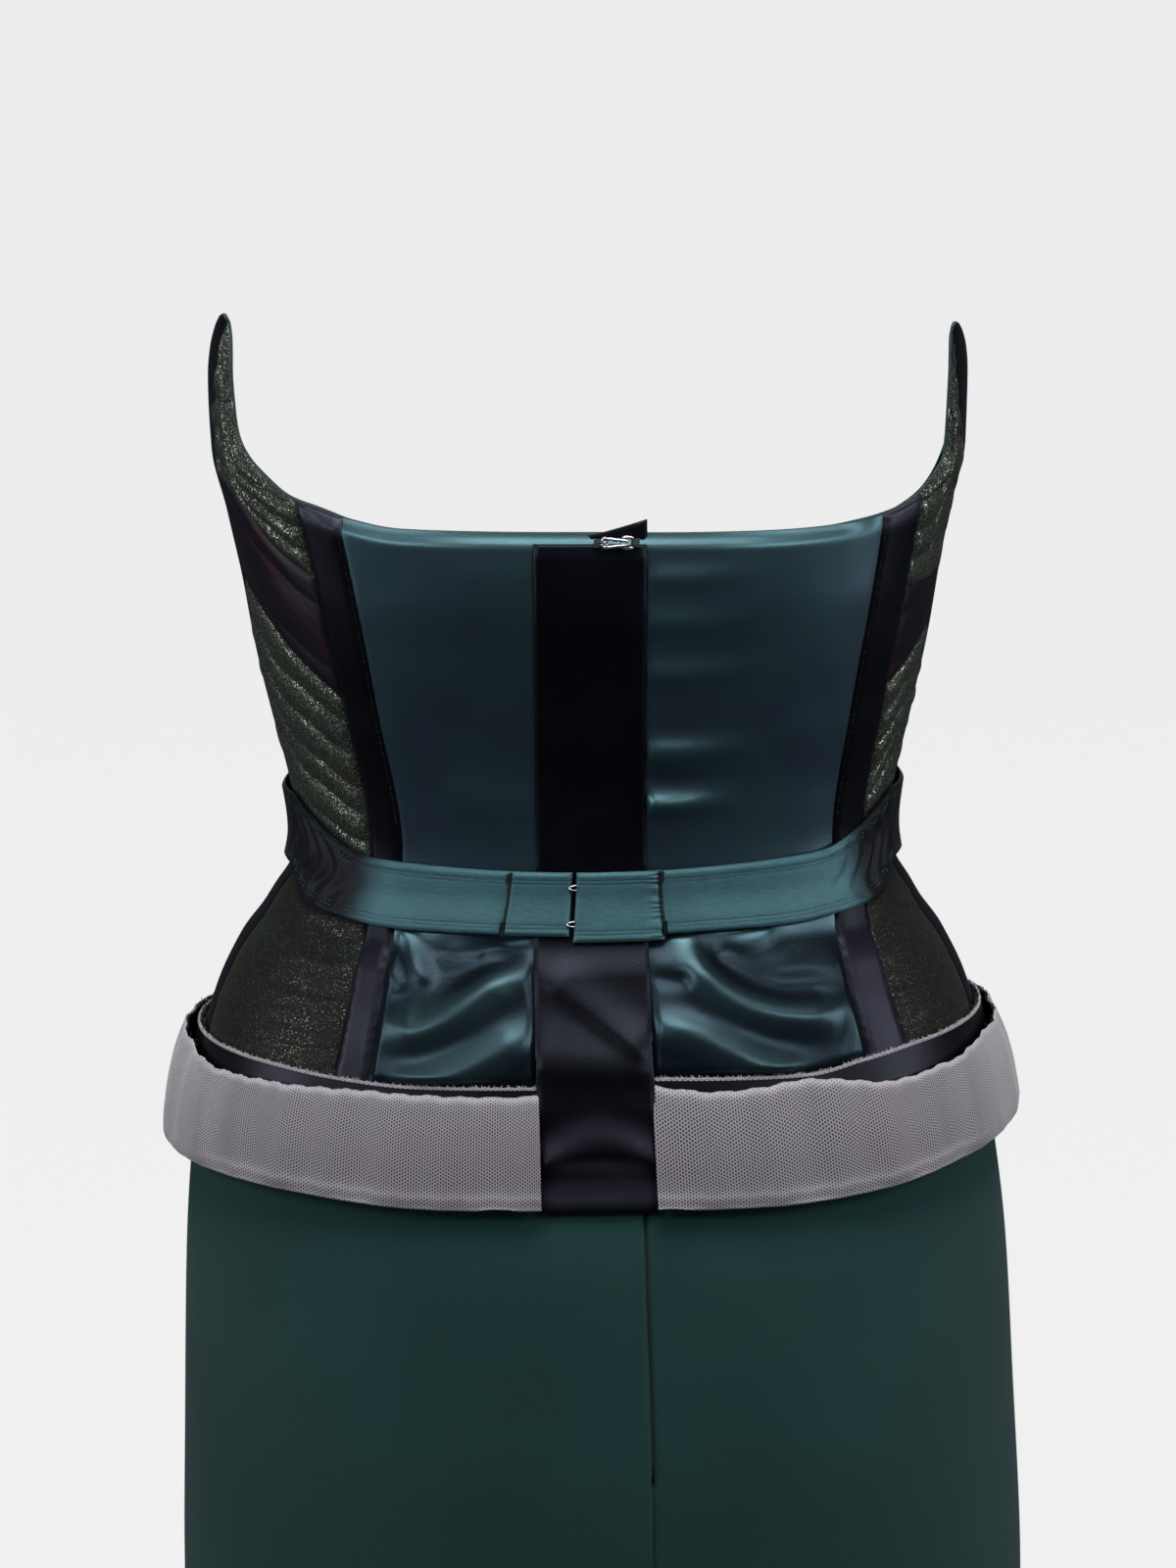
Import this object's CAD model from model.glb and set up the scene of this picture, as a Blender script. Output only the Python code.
"""Looks of the corset dress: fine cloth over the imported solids, its stitching, hooks, finishes and studio.

Metres, +Z up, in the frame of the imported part. The back faces -Y and +X is the wearer's right. An
angle is measured round the waist from the centre back, and a height from the waist.
"""

import math

import bpy
import numpy as np
from mathutils import Matrix


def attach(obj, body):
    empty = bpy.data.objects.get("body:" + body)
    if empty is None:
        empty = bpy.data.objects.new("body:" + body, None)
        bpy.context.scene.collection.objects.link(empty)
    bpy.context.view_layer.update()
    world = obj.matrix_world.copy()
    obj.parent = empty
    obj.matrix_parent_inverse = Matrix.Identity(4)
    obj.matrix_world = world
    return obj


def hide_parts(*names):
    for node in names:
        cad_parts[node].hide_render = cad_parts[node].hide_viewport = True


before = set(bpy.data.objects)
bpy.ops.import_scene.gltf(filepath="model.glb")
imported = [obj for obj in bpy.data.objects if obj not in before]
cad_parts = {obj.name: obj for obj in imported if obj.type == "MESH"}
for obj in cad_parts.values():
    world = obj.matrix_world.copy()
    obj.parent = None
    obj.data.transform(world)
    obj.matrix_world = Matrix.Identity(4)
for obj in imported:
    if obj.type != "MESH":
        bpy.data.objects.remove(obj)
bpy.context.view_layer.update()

# Camera of the photograph; the focal length and the axis are in its pixels
CAMERA_PLACE = (0.0, -2.40, 0.423)
CAMERA_PITCH = math.radians(-9.416)
CAMERA_ROLL = math.radians(0.70)
PHOTO_SIZE = (1200, 1600)
FOCAL_LENGTH = 6080
OPTICAL_AXIS = (605, 800)
SENSOR_WIDTH = 36.0

# Layers of cloth, as in the solids
SEAM_GAP = -0.0001
CLOTH = 0.0009
WALL = 0.0013
LAY_GAP = 0.0005
CASING_PROUD = 0.0007
SKIRT_TOP = -0.036
LIFT_START = -0.022
LIFT_LENGTH = 0.014
SWAG_TOP = -0.020
SKIRT_LAYER = 0.0022
SKIRT_HEM = -0.600
SKIRT_LIFT = 0.0002
SKIRT_WALL = 0.0012
RIM_REACH = 0.0014
ROLL_REACH = 0.0062
SHARP_ANGLE = math.radians(62)

OVAL_POWER = 2.3
FORM = (
    # height, half width, back depth, front depth, middle
    (0.222, 0.1485, 0.087, 0.104, 0.0),
    (0.195, 0.1522, 0.092, 0.110, 0.0),
    (0.165, 0.1512, 0.097, 0.113, 0.0),
    (0.140, 0.1456, 0.099, 0.112, 0.0),
    (0.115, 0.1404, 0.099, 0.107, 0.0),
    (0.090, 0.1362, 0.096, 0.101, 0.0),
    (0.060, 0.1298, 0.091, 0.095, 0.0),
    (0.030, 0.1228, 0.086, 0.090, 0.0),
    (0.010, 0.1204, 0.0845, 0.088, 0.0),
    (-0.004, 0.1226, 0.085, 0.089, -0.0004),
    (-0.016, 0.1298, 0.088, 0.092, -0.0008),
    (-0.032, 0.1390, 0.094, 0.097, -0.0013),
    (-0.056, 0.1506, 0.105, 0.103, -0.0017),
    (-0.080, 0.1572, 0.113, 0.107, -0.0020),
    (-0.110, 0.1622, 0.121, 0.109, -0.0018),
    (-0.160, 0.1672, 0.129, 0.110, -0.0010),
    (-0.220, 0.1698, 0.130, 0.108, -0.0005),
    (-0.300, 0.1724, 0.124, 0.106, 0.0),
    (-0.420, 0.1732, 0.116, 0.106, 0.0),
    (-0.600, 0.1715, 0.112, 0.108, 0.0),
)
CUP_ANGLE = math.radians(138)
CUP_SPREAD = math.radians(17)
CUP_HEIGHT = 0.106
CUP_RISE = 0.034
CUP_FULLNESS = 0.013

# Edges: degrees from the centre back, height
TOP_LEFT = (
    (0, 0.14), (14, 0.1404), (28, 0.141), (37.5, 0.144), (44, 0.148), (50.5, 0.152), (57, 0.1602),
    (62, 0.1668), (65, 0.1728), (66.5, 0.18), (67.4, 0.191), (68.8, 0.205), (71, 0.2138), (74, 0.219),
    (77.5, 0.2207), (81, 0.2195), (86, 0.214), (93, 0.202),
)
TOP_RIGHT = (
    (0, 0.14), (13, 0.1392), (28, 0.1388), (38, 0.1393), (46, 0.141), (53.5, 0.1441), (59.5, 0.1477),
    (63, 0.1522), (66, 0.157), (68.3, 0.1612), (69.3, 0.168), (69.8, 0.178), (70.4, 0.189), (71.6, 0.201),
    (74.5, 0.21), (79, 0.2137), (86, 0.211), (93, 0.202),
)
TOP_FRONT = (
    (93, 0.202), (97.5, 0.183), (101, 0.163), (104.5, 0.1485), (109, 0.1398), (118, 0.13), (128, 0.121),
    (140, 0.1155), (156, 0.1125), (180, 0.112),
)
SASH_TOP_LEFT = ((44, 0.1175), (56, 0.13), (69, 0.1476), (80, 0.16))
SASH_LOW_LEFT = ((42, 0.0675), (55, 0.085), (69, 0.104), (80, 0.117))
SASH_TOP_RIGHT = ((50, 0.114), (60, 0.1125), (72, 0.113), (80, 0.116))
SASH_LOW_RIGHT = ((52, 0.0655), (60, 0.072), (70, 0.0835), (80, 0.095))
BELT_TOP = (
    (0, 0.0043), (12, 0.0048), (33, 0.0065), (45, 0.008), (57, 0.015), (66, 0.0225), (74, 0.028),
    (180, 0.03),
)
BELT_LOW = (
    (0, -0.0203), (12, -0.0198), (33, -0.0188), (42, -0.0172), (56, -0.014), (66, -0.009), (76, -0.0015),
    (180, -0.002),
)
HEM = ((0, -0.089), (90, -0.086), (180, -0.088))

# Seams: height, distance from the centre back
PLACKET_LEFT = ((0.14, 0.022), (0.008, 0.0224), (-0.02, 0.0236), (-0.077, 0.0226), (-0.124, 0.022))
PLACKET_RIGHT = ((0.14, 0.022), (0.008, 0.0203), (-0.02, 0.0206), (-0.077, 0.0216), (-0.124, 0.0234))
ZIP_LINE = ((0.142, 0.0205), (0.0, 0.019), (-0.125, 0.0185), (-0.229, 0.0205), (-0.6, 0.015))
CASING_LEFT_SIDE = (
    (0.15, 0.115), (0.118, 0.1073), (0.068, 0.0972), (0.01, 0.088), (-0.017, 0.0902), (-0.092, 0.105),
)
CASING_LEFT_BACK = (
    (0.15, 0.099), (0.118, 0.0925), (0.068, 0.084), (0.01, 0.0752), (-0.017, 0.0784), (-0.092, 0.091),
)
CASING_RIGHT_BACK = (
    (0.15, 0.1165), (0.118, 0.1115), (0.068, 0.1025), (0.01, 0.0945), (-0.02, 0.095), (-0.092, 0.1105),
)
CASING_RIGHT_SIDE = (
    (0.15, 0.131), (0.118, 0.1255), (0.068, 0.116), (0.01, 0.107), (-0.02, 0.109), (-0.092, 0.128),
)
# Seams: height, degrees from the centre back
SIDE_SEAM_LEFT = (
    (0.222, 72.8), (0.2, 73.2), (0.178, 74.4), (0.16, 76.2), (0.14, 78), (0.06, 79.5), (0.0, 79),
    (-0.092, 79),
)
SIDE_SEAM_RIGHT = (
    (0.222, 71.2), (0.195, 71.3), (0.18, 73), (0.165, 75.8), (0.14, 78), (0.06, 79.5), (0.0, 79),
    (-0.092, 79),
)
FRONT_SEAM = ((0.22, 146), (0.11, 148), (0.01, 154), (-0.092, 150))
SKIRT_SIDE = 92

# Where the gathered lame laps over the side seam: height, half height, reach
SCALLOPS_LEFT = ((0.1925, 0.0035, 0.001), (0.181, 0.006, 0.004), (0.166, 0.006, 0.0012))
SCALLOPS_RIGHT = ((0.1665, 0.008, 0.0034), (0.1465, 0.006, 0.002))

CASING_INSET = 0.0013
SIDE_INSET = 0.0018
STITCH_PITCH = 0.0024
STITCH_LENGTH = 0.0017
STITCH_RADIUS = 0.00016
# Stitch rows of the belt: distance from its edge
BELT_ROWS = (0.0031, 0.0046)
BELT_THICKNESS = 0.0016
BELT_BACK_LIFT = 0.0042
BELT_SIDE_LIFT = 0.0028
BELT_LIFT_TURN = (9, 22)
EYE_TAB = (-0.0320, -0.0085)
HOOK_TAB = (-0.0068, 0.0252)
HOOK_TAB_EXTRA = 0.0022
TAB_ANGLE = 0.25
BELT_HOOKS = (("belt_hook_upper", -0.0015), ("belt_hook_lower", -0.0155))

BAND_INNER_TOP_LEFT = ((0, -0.0758), (25, -0.0765), (37, -0.075), (53, -0.0722), (90, -0.069), (180, -0.07))
BAND_INNER_TOP_RIGHT = (
    (0, -0.0722), (30, -0.0745), (40, -0.0712), (55, -0.0675), (90, -0.064), (180, -0.07),
)
BAND_OUTER_TOP_LEFT = (
    (0, -0.0765), (13, -0.08), (37, -0.079), (55, -0.079), (70, -0.0765), (90, -0.07), (180, -0.072),
)
BAND_OUTER_TOP_RIGHT = (
    (0, -0.072), (17, -0.079), (30, -0.0765), (45, -0.0805), (57, -0.0775), (75, -0.071), (90, -0.068),
    (180, -0.072),
)
BAND_FOLD_LEFT = ((0, -0.1218), (20, -0.1222), (45, -0.1185), (70, -0.1155), (90, -0.114), (180, -0.118))
BAND_FOLD_RIGHT = ((0, -0.1222), (22, -0.1228), (40, -0.12), (60, -0.113), (90, -0.106), (180, -0.118))
BAND_INNER_LIFT = 0.0058
BAND_STAND_BACK = 0.0092
BAND_STAND_SIDE = 0.0130
BAND_COLUMNS = 330
BAND_ROWS = 50
BAND_START = 0.14
BAND_BELLY = 0.016
FRINGE_SEED = 7
NET_STRANDS = 620
DARK_STRANDS = 260
NET_HALF = 0.00042
NET_PITCH = 0.00115

ZIP_END = -0.2290
PLACKET_END = -0.1240
PLACKET_DROP = 0.0040
STRIP_WALL = 0.0012
PLACKET_TAB_LIFT = 0.0068
GUARD_SIDES = (-0.0010, 0.0226)
GUARD_TOP_LOW = 0.1392
GUARD_TOP_HIGH = 0.1452
GUARD_END = 0.0200
GUARD_LIFT = -0.0022
NECK_HOOK_SIDES = (0.0040, 0.0165)
NECK_HOOK_HEIGHTS = (0.1320, 0.1366)

# Folds placed by the photograph: rise in mm, width above and below the crest in mm, pixels of the crest
SATIN_LEFT_FOLDS = (
    (4.4, 7.5, 8.5, ((378, 1046), (428, 1049), (455, 1040), (478, 1026), (506, 1003), (556, 975))),
    (3.8, 8, 8, ((378, 1112), (425, 1108), (460, 1098), (495, 1082), (525, 1066), (566, 1040))),
    (1.7, 3.5, 3.5, ((406, 938), (424, 972), (446, 1008))),
    (1.2, 3.5, 3.5, ((392, 958), (406, 988), (420, 1016))),
    (-2.6, 9, 7, ((425, 982), (470, 990), (500, 982), (545, 955))),
    (0.5, 6.5, 8, ((566, 590), (520, 592), (462, 586))),
    (0.7, 9, 9, ((566, 815), (510, 818), (446, 800))),
)
SATIN_RIGHT_FOLDS = (
    (4.2, 6.5, 8, ((684, 930), (704, 978), (730, 1008), (775, 1028), (820, 1033), (874, 1018))),
    (-2.6, 9, 6, ((712, 952), (748, 988), (800, 1008), (860, 1000))),
    (-1.7, 4, 4, ((650, 994), (680, 998), (704, 998))),
    (4.0, 6.5, 8, ((640, 1038), (700, 1052), (738, 1070), (780, 1089), (840, 1102))),
    (1.6, 4, 4, ((866, 1012), (866, 1060), (860, 1098))),
    (1.6, 4, 4.5, ((712, 964), (750, 964), (800, 950))),
)
# Puckers beside the placket, which start under it and fade out over a longer share
PUCKER_FADE = 0.6
LINE_FADE = 0.22
SATIN_RIGHT_PUCKERS = (
    (1.5, 4.5, 5, ((560, 588), (680, 590), (800, 583))),
    (1.3, 5, 5, ((560, 634), (680, 636), (790, 629))),
    (1.4, 5, 5, ((560, 686), (680, 688), (800, 680))),
    (2.9, 5, 4.5, ((560, 767), (680, 768), (786, 758))),
    (-1.2, 4, 4, ((560, 796), (680, 797), (790, 790))),
    (3.7, 4, 4, ((560, 822), (670, 822), (764, 815))),
)
PLACKET_FOLDS = (
    (1.5, 9, 3.6, ((550, 992), (604, 1032), (672, 1086))),
    (2.4, 13, 7, ((530, 1080), (600, 1088), (680, 1086))),
    (3.1, 6.5, 5, ((530, 1206), (572, 1182), (620, 1172), (662, 1182), (690, 1206))),
    (0.6, 2, 3, ((560, 1192), (620, 1186), (664, 1190))),
    (0.5, 2, 3, ((556, 1212), (620, 1206), (668, 1210))),
)
# Sheen on the placket's free end: share, width above and below in mm, pixels of its middle
PLACKET_SHEEN = (
    (0.36, 4.5, 3.5, ((556, 1184), (572, 1162), (612, 1149), (650, 1159), (668, 1180))),
    (0.42, 2.2, 2.2, ((560, 1194), (614, 1189), (666, 1194))),
    (0.50, 5, 3, ((540, 1222), (614, 1220), (690, 1218))),
)
# Valleys of gathered cloth: share up the piece at the casing, share at the side seam, rise of the
# roll above in mm
LAME_LOW_GATHERS = (
    (0.03, 0.08, 1.0), (0.21, 0.26, 1.5), (0.36, 0.43, 1.2), (0.5, 0.56, 1.6), (0.68, 0.7, 1.5),
    (0.86, 0.84, 1.1), (1.02, 1.02, 0.0),
)
LAME_TOP_GATHERS = (
    (-0.02, -0.02, 1.1), (0.3, 0.13, 1.5), (0.62, 0.31, 1.9), (0.95, 0.52, 1.9), (1.2, 0.74, 1.0),
    (1.35, 1.04, 0.0),
)
SASH_GATHERS = ((-0.02, -0.02, 0.4), (0.22, 0.12, 0.8), (0.74, 0.8, 0.6), (1.02, 1.02, 0.0))
NET_GATHERS = (
    (-0.02, -0.02, 0.4), (0.09, 0.12, 0.5), (0.16, 0.18, 0.4), (0.26, 0.24, 0.6), (0.35, 0.36, 0.5),
    (0.44, 0.42, 0.7), (0.5, 0.53, 0.5), (0.6, 0.61, 0.8), (0.68, 0.66, 0.5), (0.76, 0.78, 0.7),
    (0.87, 0.86, 0.4), (1.02, 1.02, 0.0),
)

# Grids of cloth: steps between points, rounds in which their places settle
SATIN_STEP = 0.0013
PLACKET_STEP = 0.0010
CASING_STEP = 0.0008
FRONT_STEP = 0.0019
BELT_STEP = 0.0014
TAB_STEP = 0.0005
SKIRT_STEP = 0.0034
SETTLE_ROUNDS = 30
CROWDING = 2.2
FOLD_SAMPLES = 14
GOLDEN_ANGLE = 2.39996

# Studio
STUDIO_SIDES = 48
STUDIO_RADIUS = 30
STUDIO_HEIGHT = 22.0
STUDIO_GLOW = 0.842
SURROUNDINGS = (0.74, 0.81, 1.0, 1.0)
SURROUNDINGS_STRENGTH = 0.055
FLOOR_HEIGHT = SKIRT_HEM - 0.002


def read_table(table, at, column=1):
    """Value of a column at places along the first column, on a smooth curve through the rows."""
    rows = np.array(sorted(table), dtype=float)
    places, values = rows[:, 0], rows[:, column]
    steps = np.diff(places)
    slopes = np.diff(values) / steps
    before, after = slopes[:-1], slopes[1:]
    total = np.where(before * after > 0, before + after, 1.0)
    inner = np.where(before * after > 0, 2 * before * after / total, 0.0)
    turns = np.concatenate([slopes[:1], inner, slopes[-1:]])
    at = np.clip(at, places[0], places[-1])
    row = np.clip(np.searchsorted(places, at, side="right") - 1, 0, len(steps) - 1)
    t = (at - places[row]) / steps[row]
    return (
        (2 * t ** 3 - 3 * t ** 2 + 1) * values[row]
        + (t ** 3 - 2 * t ** 2 + t) * steps[row] * turns[row]
        + (3 * t ** 2 - 2 * t ** 3) * values[row + 1]
        + (t ** 3 - t ** 2) * steps[row] * turns[row + 1]
    )


def ease(value):
    """A smooth step from 0 to 1."""
    value = np.clip(value, 0.0, 1.0)
    return value * value * (3 - 2 * value)


def form_point(angle, height, lift):
    """Points of the figure's surface at angles and heights, moved out by lift."""
    angle, height, lift = np.broadcast_arrays(angle, height, lift)
    sine, cosine = np.sin(angle), np.cos(angle)
    half_width = read_table(FORM, height, 1) + lift
    depth = np.where(cosine > 0, read_table(FORM, height, 2), read_table(FORM, height, 3)) + lift
    around = (np.abs(turned(angle)) - CUP_ANGLE) / CUP_SPREAD
    cups = CUP_FULLNESS * np.exp(-around ** 2 - ((height - CUP_HEIGHT) / CUP_RISE) ** 2)
    depth = depth + np.where(cosine < 0, cups, 0.0)
    power = 2 / OVAL_POWER
    x = read_table(FORM, height, 4) + half_width * np.copysign(np.abs(sine) ** power, sine)
    y = -depth * np.copysign(np.abs(cosine) ** power, cosine)
    return np.stack([x, y, height + 0.0 * x], axis=-1)


def turned(angle):
    """An angle brought into half a turn either side of the centre back."""
    return (np.asarray(angle) + math.pi) % math.tau - math.pi


def angle_of(distance, height):
    """Angle at which the back of the figure is a distance from the centre back."""
    distance = distance - read_table(FORM, height, 4)
    share = np.minimum(np.abs(distance) / read_table(FORM, height, 1), 1.0)
    return np.copysign(np.arcsin(share ** (OVAL_POWER / 2)), distance)


def angle_step(angle, height, distance):
    """Angle that spans a short distance along the cloth."""
    turn = 0.01
    span = form_point(angle + turn, height, 0.0) - form_point(angle - turn, height, 0.0)
    return distance * 2 * turn / np.linalg.norm(span, axis=-1)


def degrees_from_back(angle):
    """How far round from the centre back angles are, on either side."""
    return np.abs(np.degrees(turned(angle)))


def distance_seam(table, side):
    """Seam given by its distance from the centre back, on the left (-1) or the right (1)."""
    return lambda height: angle_of(side * read_table(table, height), height)


def degree_seam(table, side):
    """Seam given in degrees from the centre back."""
    return lambda height: side * np.radians(read_table(table, height))


def straight(angle):
    """A straight line up the figure at one angle."""
    return lambda height: angle + 0.0 * np.asarray(height)


# Seams as functions of height, each pair from the picture's left to its right
ZIP_SEAM = distance_seam(ZIP_LINE, 1)
LEFT_CASING = (distance_seam(CASING_LEFT_SIDE, -1), distance_seam(CASING_LEFT_BACK, -1))
RIGHT_CASING = (distance_seam(CASING_RIGHT_BACK, 1), distance_seam(CASING_RIGHT_SIDE, 1))
SIDE_SEAMS = {-1: degree_seam(SIDE_SEAM_LEFT, -1), 1: degree_seam(SIDE_SEAM_RIGHT, 1)}
FRONT_SEAMS = {side: degree_seam(FRONT_SEAM, side) for side in (-1, 1)}


def scalloped(seam, side, rows):
    """A side seam with rounded laps of gathered cloth over it."""
    def line(height):
        angle = seam(height)
        reach = sum(out * np.exp(-((height - middle) / half) ** 4) for middle, half, out in rows)
        return angle + side * angle_step(angle, height, reach)
    return line


def edge(table):
    """Edge across the figure: its height at an angle, the same on both sides."""
    return lambda angle: read_table(table, degrees_from_back(angle))


def level(height):
    """A level edge."""
    return lambda angle: height + 0.0 * np.asarray(angle)


def top_edge(angle):
    """Height of the bodice's top edge."""
    degrees = degrees_from_back(angle)
    back = np.where(turned(angle) < 0, read_table(TOP_LEFT, degrees), read_table(TOP_RIGHT, degrees))
    return np.where(degrees > TOP_FRONT[0][0], read_table(TOP_FRONT, degrees), back)


def shifted(line, distance):
    """An edge line moved up or down."""
    return lambda angle: line(angle) + distance


def corset_lift(height):
    """How far the corset stands off the figure, to clear the skirt that it overlaps."""
    return SKIRT_LAYER * ease((LIFT_START - height) / LIFT_LENGTH)


def edge_turn(angle):
    """How far cloth turns in over the top edge: rolled at the back, nearly flat on the side points."""
    degrees = degrees_from_back(angle)
    return 0.0005 + 0.0022 * (1 - ease((degrees - 40) / 9)) + 0.0012 * ease((degrees - 84) / 12)


def belt_lift(angle):
    """How far the belt's inner face stands off the figure."""
    away = ease((degrees_from_back(angle) - BELT_LIFT_TURN[0]) / (BELT_LIFT_TURN[1] - BELT_LIFT_TURN[0]))
    return BELT_BACK_LIFT + (BELT_SIDE_LIFT - BELT_BACK_LIFT) * away


def on_figure(px, py):
    """Angle and height on the figure's back that pixels of the photograph show."""
    across, up = np.asarray(px) - OPTICAL_AXIS[0], OPTICAL_AXIS[1] - np.asarray(py)
    u = (across * math.cos(CAMERA_ROLL) + up * math.sin(CAMERA_ROLL)) / FOCAL_LENGTH
    v = (up * math.cos(CAMERA_ROLL) - across * math.sin(CAMERA_ROLL)) / FOCAL_LENGTH
    forward = math.cos(CAMERA_PITCH) - v * math.sin(CAMERA_PITCH)
    upward = math.sin(CAMERA_PITCH) + v * math.cos(CAMERA_PITCH)
    y = -0.10
    for _ in range(14):
        reach = (y - CAMERA_PLACE[1]) / forward
        height = CAMERA_PLACE[2] + reach * upward
        angle = angle_of(reach * u, height)
        y = form_point(angle, height, 0.003)[..., 1]
    return angle, height


def smooth_line(points, count):
    """A polyline resampled on a smooth curve through its points."""
    t = np.linspace(0, len(points) - 1, count)
    table = [(i, *point) for i, point in enumerate(points)]
    return np.stack([read_table(table, t, column) for column in range(1, len(table[0]))], -1)


class Patch:
    """A fine grid of places on the figure between two seams and two edges."""

    def __init__(self, left, right, low, high, step, crowd=""):
        middle = 0.5 * float(low(left(0.0)) + high(left(0.0)))
        half = SEAM_GAP / 2
        ring = form_point(np.linspace(float(left(middle)), float(right(middle)), 60), middle, 0.0)
        width = np.linalg.norm(np.diff(ring, axis=0), axis=1).sum()
        angles = np.linspace(float(left(middle)), float(right(middle)), 9)
        tall = float(np.max(high(angles) - low(angles)))
        columns, rows = max(3, round(width / step) + 1), max(3, round(tall / step) + 1)
        across = np.linspace(0, 1, columns)
        across = {"left": across ** CROWDING, "right": 1 - (1 - across) ** CROWDING}.get(crowd, across)
        self.u, self.v = np.meshgrid(across, np.linspace(0, 1, rows))
        height = middle + 0.0 * self.u
        for _ in range(SETTLE_ROUNDS):
            start = left(height) + angle_step(left(height), height, half)
            end = right(height) - angle_step(right(height), height, half)
            angle = start + (end - start) * self.u
            bottom, top = low(angle) + half, high(angle) - half
            height = (height + bottom + (top - bottom) * self.v) / 2
        self.angle, self.height = angle, height
        place = form_point(angle, height, 0.0)
        across = np.linalg.norm(np.diff(place, axis=1), axis=2)
        upward = np.linalg.norm(np.diff(place, axis=0), axis=2)
        self.s = np.pad(np.cumsum(across, axis=1), ((0, 0), (1, 0)))
        self.t = np.pad(np.cumsum(upward, axis=0), ((1, 0), (0, 0)))
        self.from_left, self.from_right = self.s, self.s[:, -1:] - self.s
        self.from_low, self.from_top = self.t, self.t[-1:, :] - self.t
        self.s = self.s - self.s[:, -1:] / 2
        self.place = place

    def side(self):
        """Distance from the nearer seam."""
        return np.minimum(self.from_left, self.from_right)

    def rim(self):
        """Distance from the nearest border."""
        return np.minimum.reduce([self.from_left, self.from_right, self.from_low, self.from_top])


def ridge_field(patch, rows, fade=LINE_FADE):
    """Relief in metres of folds placed by the photograph's pixels; fade is the far end's share."""
    relief = 0.0 * patch.u
    for rise, above, below, pixels in rows:
        line = smooth_line(pixels, FOLD_SAMPLES)
        spots = form_point(*on_figure(line[:, 0], line[:, 1]), 0.0)
        best = np.full(patch.u.shape, 1e9)
        side, along = 0.0 * best, 0.0 * best
        for k, (a, b) in enumerate(zip(spots, spots[1:])):
            run = b - a
            t = np.clip(((patch.place - a) @ run) / (run @ run), 0, 1)
            off = patch.place - (a + t[..., None] * run)
            away = np.linalg.norm(off, axis=-1)
            nearer = away < best
            best = np.where(nearer, away, best)
            leaning = (run[0] * off[..., 2] - run[2] * off[..., 0]) * np.sign(spots[-1][0] - spots[0][0])
            side = np.where(nearer, leaning, side)
            along = np.where(nearer, (k + t) / (len(spots) - 1), along)
        width = np.where(side > 0, above, below) / 1000
        ends = ease(along / LINE_FADE) * ease((1 - along) / fade)
        relief += rise / 1000 * np.exp(-(best / width) ** 2) * ends
    return relief


def gathers(share, toward_side, rows):
    """Relief in metres of gathered cloth: rounded rolls between tight valleys."""
    relief = 0.0 * share
    lines = [a + (b - a) * toward_side for a, b, _ in rows]
    for low, high, (_, _, rise) in zip(lines, lines[1:], rows):
        local = np.clip((share - low) / (high - low), 0, 1)
        roll = np.sin(math.pi * local) ** 0.65
        relief = np.where((share >= low) & (share < high), rise / 1000 * roll, relief)
    return relief


def crumple(s, t, size, seed):
    """A soft irregular surface from -1 to 1, with bumps about size metres across."""
    total, weight = 0.0 * s, 0.0
    for k in range(7):
        turn = GOLDEN_ANGLE * (k + 1) + seed
        wave = math.tau / size * (0.55 + 0.21 * k)
        phase = wave * (s * math.cos(turn) + t * math.sin(turn)) + 1.7 * k * seed + 3.1 * k
        total = total + np.sin(phase) / (1 + 0.4 * k)
        weight += 1 / (1 + 0.4 * k)
    return total / weight


class Varying:
    """A number that varies over a surface; a sum or product of it adds a Math node."""

    def __init__(self, finish, socket):
        self.finish, self.socket = finish, socket

    def maths(self, operation, a, b=0.0, c=0.0):
        return self.finish.node("ShaderNodeMath", {"operation": operation}, {0: a, 1: b, 2: c})

    def __add__(self, other):
        return self.maths("ADD", self, other)

    def __sub__(self, other):
        return self.maths("SUBTRACT", self, other)

    def __rsub__(self, other):
        return self.maths("SUBTRACT", other, self)

    def __mul__(self, other):
        return self.maths("MULTIPLY", self, other)

    __radd__ = __add__
    __rmul__ = __mul__

    def cosine(self):
        return self.maths("COSINE", self)

    def near(self, value, reach):
        """1 within reach of a value, 0 elsewhere."""
        return self.maths("COMPARE", self, value, reach)

    def between(self, low, high):
        """0 below low, 1 above high, smooth in between."""
        return self.finish.node("ShaderNodeMapRange", {"interpolation_type": "SMOOTHSTEP"},
                                {"Value": self, "From Min": low, "From Max": high})


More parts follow.
